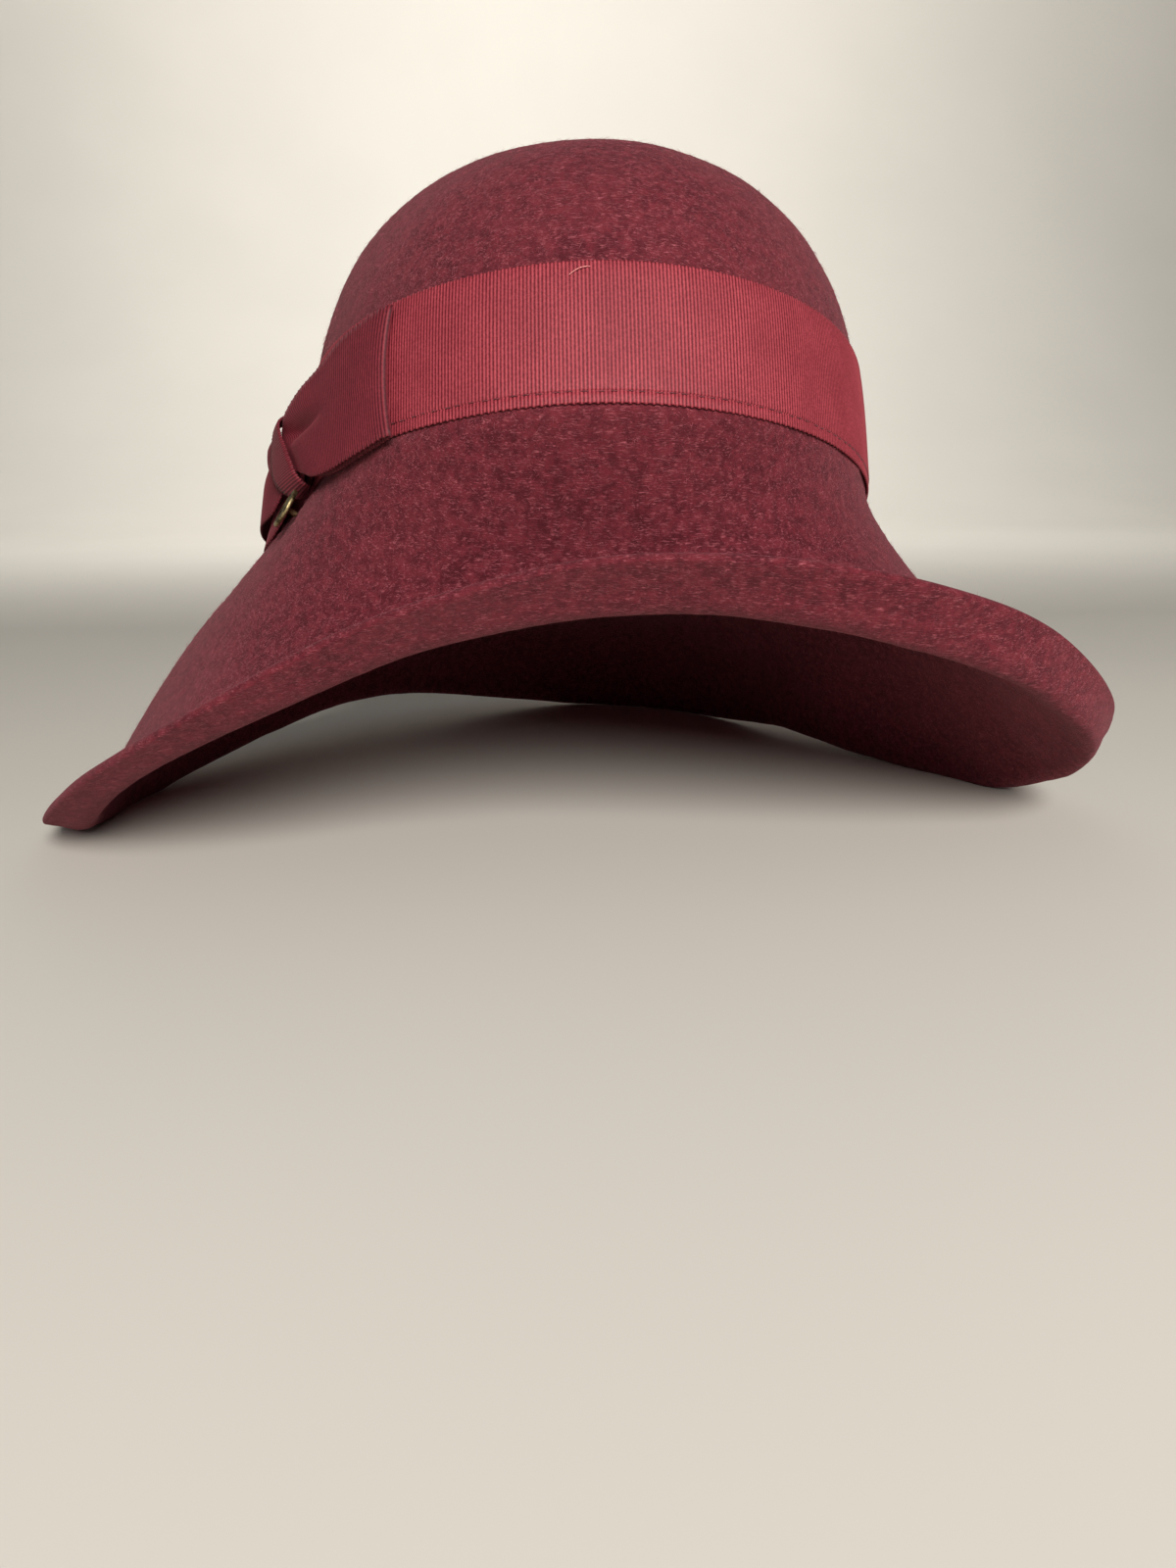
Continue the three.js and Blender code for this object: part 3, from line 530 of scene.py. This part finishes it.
def ribbon_piece(name, lines, thickness, closed, material):
    upper, lower, uv = ribbed(lines, thickness, closed)
    rows, cols = lines.shape[:2]
    half = rows * cols
    points = np.vstack([upper.reshape(-1, 3), lower.reshape(-1, 3)])
    if closed:
        grid = np.arange(half).reshape(rows, cols)
        grid = np.vstack([grid, grid[:1]])
    else:
        grid = np.arange(half).reshape(rows, cols)
    a, b, c, d = grid[:-1, :-1], grid[1:, :-1], grid[1:, 1:], grid[:-1, 1:]
    faces = np.stack([a, b, c, d], -1).reshape(-1, 4).tolist() + (np.stack([a, d, c, b], -1).reshape(-1, 4) + half).tolist()
    e, f = grid[:-1, 0], grid[1:, 0]
    faces += np.stack([e, e + half, f + half, f], -1).tolist()
    e, f = grid[:-1, -1], grid[1:, -1]
    faces += np.stack([e, f, f + half, e + half], -1).tolist()
    if not closed:
        e, f = grid[0, :-1], grid[0, 1:]
        faces += np.stack([e, f, f + half, e + half], -1).tolist()
        e, f = grid[-1, :-1], grid[-1, 1:]
        faces += np.stack([e, e + half, f + half, f], -1).tolist()
    uvs = np.vstack([uv.reshape(-1, 2)] * 2)
    o = solid(name, points, faces, material, uvs)
    return o


def even_rows(make, length_of, step):
    """Stations along a curve, spaced evenly by the length of the ribbon's middle."""
    t = np.linspace(0, 1, 1201)
    mid = make(t)[:, length_of]
    walked = np.concatenate([[0], np.cumsum(np.linalg.norm(np.diff(mid, axis=0), axis=1))])
    count = int(round(walked[-1] / step)) + 1
    return np.interp(np.linspace(0, walked[-1], count), walked, t)


LOOP_ACROSS, KNOT_ACROSS = 20, 8


def loop_lines(rows):
    dense = table_curve(rows, LOOP_COLUMNS, 4001)
    at = np.linspace(0, 1, 4001)

    def make(t):
        c = {k: np.interp(t, at, v)[:, None] for k, v in dense.items()}
        u = np.linspace(0, 1, LOOP_ACROSS + 1)[None, :]
        deg = c["degLow"] + (c["degHigh"] - c["degLow"]) * u + c["bow"] * 4 * u * (1 - u)
        height = c["low"] + (c["high"] - c["low"]) * u
        off = c["offLow"] + (c["offHigh"] - c["offLow"]) * u - c["dip"] * np.exp(-((height - DIP_HEIGHT) / DIP_REACH) ** 2)
        return on_crown(deg, height, off)

    return make(even_rows(make, LOOP_ACROSS // 2, RIB_PITCH / STEPS_PER_RIB))


def knot_lines():
    dense = table_curve(KNOT_TURN, KNOT_COLUMNS, 4001, True)
    at = np.linspace(0, 1, 4001)

    def make(t):
        c = {k: np.interp(t, at, v)[:, None] for k, v in dense.items()}
        u = np.linspace(0, 1, KNOT_ACROSS + 1)[None, :]
        deg, off, height = (c[a] + (c[b] - c[a]) * u for a, b in (("degFront", "degBack"), ("offFront", "offBack"), ("front", "back")))
        return on_crown(deg, height, off)

    return make(even_rows(make, KNOT_ACROSS // 2, RIB_PITCH / STEPS_PER_RIB)[:-1])


def band():
    """The ribbon round the crown. Its ribs run up it, and its lower hem is a step lower than the rest."""
    turns = np.linspace(0, 360, 2001)
    middle = on_crown(turns, RIBBON_LOW + RIBBON_WIDTH / 2, GAP + RIBBON_THICKNESS)
    walked = np.concatenate([[0], np.cumsum(np.linalg.norm(np.diff(middle, axis=0), axis=1))])
    ribs = int(round(walked[-1] / RIB_PITCH / 2)) * 2
    columns = ribs * STEPS_PER_RIB
    deg = np.interp(np.arange(columns) * walked[-1] / columns, walked, turns)
    s = np.arange(columns) * RIB_PITCH / STEPS_PER_RIB
    low, tuck, high = RIBBON_LOW, RIBBON_LOW + TUCK_HEIGHT, RIBBON_LOW + RIBBON_WIDTH
    hem, outside = GAP + RIBBON_THICKNESS, GAP + RIBBON_THICKNESS + TUCK_STEP
    face = [(hem - 0.12, low), (hem, low + 0.25), (hem, (low + tuck) / 2), (hem, tuck - 0.3), (hem - 0.22, tuck - 0.1), (outside - 0.1, tuck + 0.05), (outside, tuck + 0.3)]
    face += [(outside, h) for h in np.linspace(tuck, high - 0.3, 9)[1:]] + [(outside - 0.12, high)]
    lining = [(GAP, high - 0.1), (GAP, (high + low) / 2), (GAP, low + 0.1)]
    profile = face + lining
    off = np.array([p[0] for p in profile])
    height = np.array([p[1] for p in profile])
    on_face = np.array([1.0] * len(face) + [0.0] * len(lining))
    rib = np.cos(2 * math.pi * s / RIB_PITCH)
    scallop = PICOT_DEPTH * np.abs(np.sin(math.pi * s / PICOT_PITCH))
    sway = 0.12 * np.sin(np.radians(deg) * 3 + 0.4) + 0.08 * np.sin(np.radians(deg) * 7 + 1.9)
    edge_low = (np.abs(height - low) < 0.15).astype(float)
    edge_high = (np.abs(height - high) < 0.15).astype(float)
    hh = height[:, None] + (edge_high[:, None] - edge_low[:, None]) * scallop[None, :] + sway[None, :]
    oo = off[:, None] + on_face[:, None] * RIB_DEPTH * rib[None, :]
    points = on_crown(np.broadcast_to(deg[None, :], hh.shape), hh, oo)
    rows = len(profile)
    ring = np.arange(rows * columns).reshape(rows, columns)
    a = ring
    b, c, d = np.roll(ring, -1, 0), np.roll(np.roll(ring, -1, 0), -1, 1), np.roll(ring, -1, 1)
    faces = np.stack([a, d, c, b], -1).reshape(-1, 4).tolist()
    uv = np.stack([np.broadcast_to(s[None, :], hh.shape), np.broadcast_to(height[:, None], hh.shape)], -1).reshape(-1, 2)
    o = solid("grosgrain_band", points.reshape(-1, 3), faces, ribbon, uv)
    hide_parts("ribbon_band")
    return deg, s


def tube(path, radius, sides=6):
    """Points and faces of a closed tube with tapered ends."""
    path = np.asarray(path, float)
    along = np.gradient(path, axis=0)
    along = unit(along)
    guide = np.array([0.3, 0.9, 0.2])
    side = unit(np.cross(along, guide))
    other = np.cross(along, side)
    a = np.arange(sides) * 2 * math.pi / sides
    taper = np.ones(len(path)); taper[0] = taper[-1] = 0.45
    ring = (side[:, None] * np.cos(a)[None, :, None] + other[:, None] * np.sin(a)[None, :, None]) * (radius * taper)[:, None, None]
    points = (path[:, None] + ring).reshape(-1, 3)
    faces = grid_quads(len(path), sides, True, flip=True)
    faces.append(list(range(sides)))
    faces.append(list(range(len(points) - 1, len(points) - 1 - sides, -1)))
    return points, faces


def join_tubes(parts):
    points, faces, first = [], [], 0
    for p, f in parts:
        points.append(p)
        faces += [[v + first for v in q] for q in f]
        first += len(p)
    return np.vstack(points), faces


STITCH_PITCH, STITCH_LENGTH, STITCH_RADIUS = 3.4, 2.1, 0.14


def stitches():
    turns = np.linspace(0, 360, 2001)
    height = RIBBON_LOW + TUCK_HEIGHT - 0.15
    off = GAP + RIBBON_THICKNESS + 0.14
    line = on_crown(turns, height, off)
    walked = np.concatenate([[0], np.cumsum(np.linalg.norm(np.diff(line, axis=0), axis=1))])
    count = int(walked[-1] / STITCH_PITCH)
    parts = []
    for k in range(count):
        start = (k + 0.12 * math.sin(k * 2.3)) * walked[-1] / count
        at = np.interp(start + np.linspace(0, STITCH_LENGTH, 5), walked, turns)
        dip = np.array([-0.25, 0.0, 0.06, 0.0, -0.25])
        parts.append(tube(on_crown(at, height + 0.1 * math.sin(k * 1.7), off + dip), STITCH_RADIUS, 5))
    points, faces = join_tubes(parts)
    o = solid("band_hem_stitches", points, faces, thread)
    return o


def loose_thread():
    """The stray end of thread that lies on the front of the band near its upper edge."""
    t = np.linspace(0, 1, 14)
    deg = -6.0 + 3.4 * t
    height = RIBBON_LOW + RIBBON_WIDTH - 3.4 + 1.9 * t + 0.5 * np.sin(t * 3.1)
    off = GAP + RIBBON_THICKNESS + TUCK_STEP + 0.22 + 0.35 * np.sin(t * math.pi)
    points, faces = tube(on_crown(deg, height, off), 0.13, 5)
    o = solid("loose_thread_end", points, faces, pale_thread)
    return o


def badge():
    """A small turned disc with a raised rim and a plain dished face, on the pin that holds it."""
    r, t, w, d = BADGE["radius"], BADGE["thickness"], BADGE["rim"], BADGE["recess"]
    pin, stem = BADGE["pinRadius"], BADGE["pinLength"]
    profile = [(0, -stem), (pin - 0.15, -stem), (pin, -stem + 0.15), (pin, 0), (r - 0.5, 0), (r - 0.22, 0.05), (r - 0.05, 0.2), (r, 0.42), (r, t - 0.42), (r - 0.05, t - 0.2),
               (r - 0.2, t - 0.05), (r - 0.36, t), (r - w + 0.1, t - 0.02), (r - w - 0.08, t - 0.12), (r - w - 0.22, t - d), (r - w - 0.7, t - d - 0.04), (r * 0.5, t - d - 0.1), (r * 0.25, t - d - 0.12)]
    sides = 96
    a = np.arange(sides) * 2 * math.pi / sides
    face = unit(crown_side * BADGE["faceSide"] - crown_back * BADGE["faceFront"] + crown_up * BADGE["faceUp"])
    along = unit(crown_back - face * (face @ crown_back))
    cross = np.cross(face, along)
    centre = head_centre + crown_side * BADGE["side"] - crown_back * BADGE["front"] + crown_up * BADGE["height"]
    spoke = cross * np.cos(a)[:, None] + along * np.sin(a)[:, None]
    points = np.vstack([centre + spoke * x + face * y for x, y in profile[1:]] + [(centre - face * stem)[None], (centre + face * (t - d - 0.12))[None]])
    rows = len(profile) - 1
    faces = grid_quads(rows, sides, True, flip=True)
    back, front = len(points) - 2, len(points) - 1
    last = (rows - 1) * sides
    for j in range(sides):
        k = (j + 1) % sides
        faces.append((back, k, j))
        faces.append((front, last + j, last + k))
    o = solid("brass_badge", points, faces, brass)
    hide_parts("metal_badge")
    return o


FIBRES, FIBRE_RADIUS = 48000, 0.034


def nap(layer, normals):
    """Loose wool fibres that stand out of the felt's outer face and rim, each a closed sliver."""
    r = np.random.default_rng(23)
    rows, cols = layer.shape[:2]
    down = layer[1:] - layer[:-1]
    across = np.roll(layer, -1, 1)[:-1] - layer[:-1]
    share = np.linalg.norm(np.cross(down, across), axis=2).ravel()
    pick = r.choice(len(share), FIBRES, p=share / share.sum())
    i, j = pick // cols, pick % cols
    root = layer[i, j] + down[i, j] * r.random((FIBRES, 1)) + across[i, j] * r.random((FIBRES, 1))
    n = normals[i, j]
    flat = r.normal(size=(FIBRES, 3))
    flat = unit(flat - n * np.sum(flat * n, 1, keepdims=True))
    length = r.uniform(1.0, 3.4, (FIBRES, 1))
    lift = r.uniform(0.06, 0.5, (FIBRES, 1)) ** 1.3
    tip = root + length * unit(flat + n * lift)
    a = unit(np.cross(tip - root, n))
    b = unit(np.cross(a, tip - root))
    ring = [root - n * 0.12 + FIBRE_RADIUS * (a * math.cos(t) + b * math.sin(t)) for t in (0.0, 2.0944, 4.1888)]
    points = np.stack(ring + [tip], 1)
    points = points[to_rest(points)[..., 2].min(1) > 0.05]
    first = 4 * np.arange(len(points))[:, None]
    faces = np.concatenate([first + np.array(f) for f in ((0, 2, 1), (0, 1, 3), (1, 2, 3), (2, 0, 3))])
    o = solid("felt_nap", points.reshape(-1, 3), faces.tolist(), fibre, smooth=False)
    return o


def fibre_material():
    m = Nodes("wool_fibre")
    plain = m.coords("Object", (1000, 1000, 1000))
    base = m.mix(m.spread(m.noise(plain, scale=0.9, detail=2), 0.36, 0.64), colour(110, 38, 50), colour(186, 104, 114))
    return m.finish(base, m.bump(m.noise(plain, scale=6.0, detail=2), 0.2, 0.0001), Roughness=0.85, Specular_IOR_Level=0.2)


felt, brass = felt_material(), brass_material()
thread = thread_material("sewing_thread", colour(84, 18, 30), colour(122, 38, 50))
pale_thread = thread_material("loose_thread", colour(196, 108, 110), colour(226, 146, 142))
# the first colour is the lit rib crest and the second the painted shade in the rib grooves
ribbon = ribbon_material("grosgrain_ribbon", colour(184, 74, 86), colour(92, 8, 24))
# painted shade: the bow's loops and turn get a darker copy of the same grosgrain, standing in for the shade they lie in
# at their angle to the light
shaded_bow_ribbon = ribbon_material("bow_grosgrain_painted_shade", colour(144, 50, 62), colour(68, 6, 20))

fibre = fibre_material()
hat, outer_face, outer_normals = felt_hat()
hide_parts("felt_body")
nap(outer_face, outer_normals)
band()
front_loop = ribbon_piece("bow_loop_front", loop_lines(FRONT_LOOP), BOW_THICKNESS - 0.25, False, shaded_bow_ribbon)
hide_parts("bow_front_loop")
back_loop = ribbon_piece("bow_loop_back", loop_lines(BACK_LOOP), BOW_THICKNESS - 0.25, False, shaded_bow_ribbon)
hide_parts("bow_back_loop")
knot = ribbon_piece("bow_turn", knot_lines(), BOW_THICKNESS - 0.2, True, shaded_bow_ribbon)
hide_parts("bow_knot")
stitches()
loose_thread()
badge()

# ---------------------------------------------------------------- camera: the photo's own place, turned with the hat to its resting pose
FOCAL_SHARE = 1202 / 1600
CAMERA_AT = np.array([-24.195, -378.335, 132.271])
CAMERA_YAW, CAMERA_PITCH, CAMERA_ROLL = 0.0570453, 0.3226233, -0.034965
look = np.array([math.sin(CAMERA_YAW) * math.cos(CAMERA_PITCH), math.cos(CAMERA_YAW) * math.cos(CAMERA_PITCH), -math.sin(CAMERA_PITCH)])
right = np.array([math.cos(CAMERA_YAW), -math.sin(CAMERA_YAW), 0.0])
down = np.cross(look, right)
right, down = right * math.cos(CAMERA_ROLL) - down * math.sin(CAMERA_ROLL), right * math.sin(CAMERA_ROLL) + down * math.cos(CAMERA_ROLL)
axes = rest_turn @ np.stack([right, -down, -look], 1)
place = to_rest(CAMERA_AT) * MM
data = bpy.data.cameras.new("camera")
data.sensor_width, data.sensor_fit, data.lens = 36.0, "AUTO", 36.0 * FOCAL_SHARE
data.clip_start, data.clip_end = 0.01, 50.0
camera = bpy.data.objects.new("camera", data)
matrix = Matrix.Identity(4)
for r in range(3):
    for c in range(3):
        matrix[r][c] = axes[r, c]
    matrix[r][3] = place[r]
camera.matrix_world = matrix
bpy.context.scene.collection.objects.link(camera)
bpy.context.scene.camera = camera

# ---------------------------------------------------------------- floor, backdrop and light


def stage_mesh(name, points, faces, tone):
    me = bpy.data.meshes.new(name)
    me.from_pydata(points, [], faces)
    me.polygons.foreach_set("use_smooth", [True] * len(faces))
    m = Nodes(name + "_paint")
    grain = m.noise(m.coords("Object", (1, 1, 1)), scale=3.0, detail=3)
    me.materials.append(m.finish(m.mix(m.spread(grain, 0.3, 0.7), tone, tuple(c * 0.97 for c in tone[:3]) + (1.0,)), Roughness=0.9, Specular_IOR_Level=0.1))
    o = bpy.data.objects.new(name, me)
    bpy.context.scene.collection.objects.link(o)
    return o


SWEEP = ([(-4.0, 0.0), (1.6, 0.0)] + [(1.6 + 1.2 * math.sin(a), 1.2 * (1 - math.cos(a))) for a in np.linspace(0, math.pi / 2, 13)[1:]] + [(2.8, 4.5)])
sweep_points = [(x, y, z - 0.0002) for y, z in SWEEP for x in (-4.0, 4.0)]
sweep_faces = [(2 * k, 2 * k + 1, 2 * k + 3, 2 * k + 2) for k in range(len(SWEEP) - 1)]
stage_mesh("studio_floor", sweep_points, sweep_faces, colour(226, 222, 214))


def area_light(name, at, to, size, power, tint):
    d = bpy.data.lights.new(name, "AREA")
    d.shape, d.size, d.energy, d.color = "DISK", size, power, tint
    o = bpy.data.objects.new(name, d)
    o.location = at
    o.rotation_mode = "QUATERNION"
    o.rotation_quaternion = (Vector(to) - Vector(at)).to_track_quat("-Z", "Y")
    bpy.context.scene.collection.objects.link(o)


LIGHTS = (
    ("key_front", (0.2, -1.5, 0.85), (0.0, 0.0, 0.1), 0.7, 34.0, (1.0, 0.96, 0.9)),
    ("fill_left", (-1.5, -0.5, 0.9), (0.0, 0.0, 0.1), 1.2, 0.4, (0.92, 0.96, 1.0)),
    ("fill_right", (1.5, -0.3, 1.0), (0.0, 0.0, 0.1), 1.2, 0.6, (1.0, 0.97, 0.93)),
    ("backdrop_wash", (0.0, 1.1, 1.5), (0.0, 2.8, 0.75), 1.6, 34.0, (1.0, 0.98, 0.94)),
)
for name, at, to, size, power, tint in LIGHTS:
    area_light(name, at, to, size, power, tint)
world = bpy.data.worlds.new("studio_air")
world.use_nodes = True
world.node_tree.nodes["Background"].inputs["Color"].default_value = colour(222, 226, 232)
world.node_tree.nodes["Background"].inputs["Strength"].default_value = 0.1
bpy.context.scene.world = world
bpy.context.scene.view_settings.view_transform = "Standard"
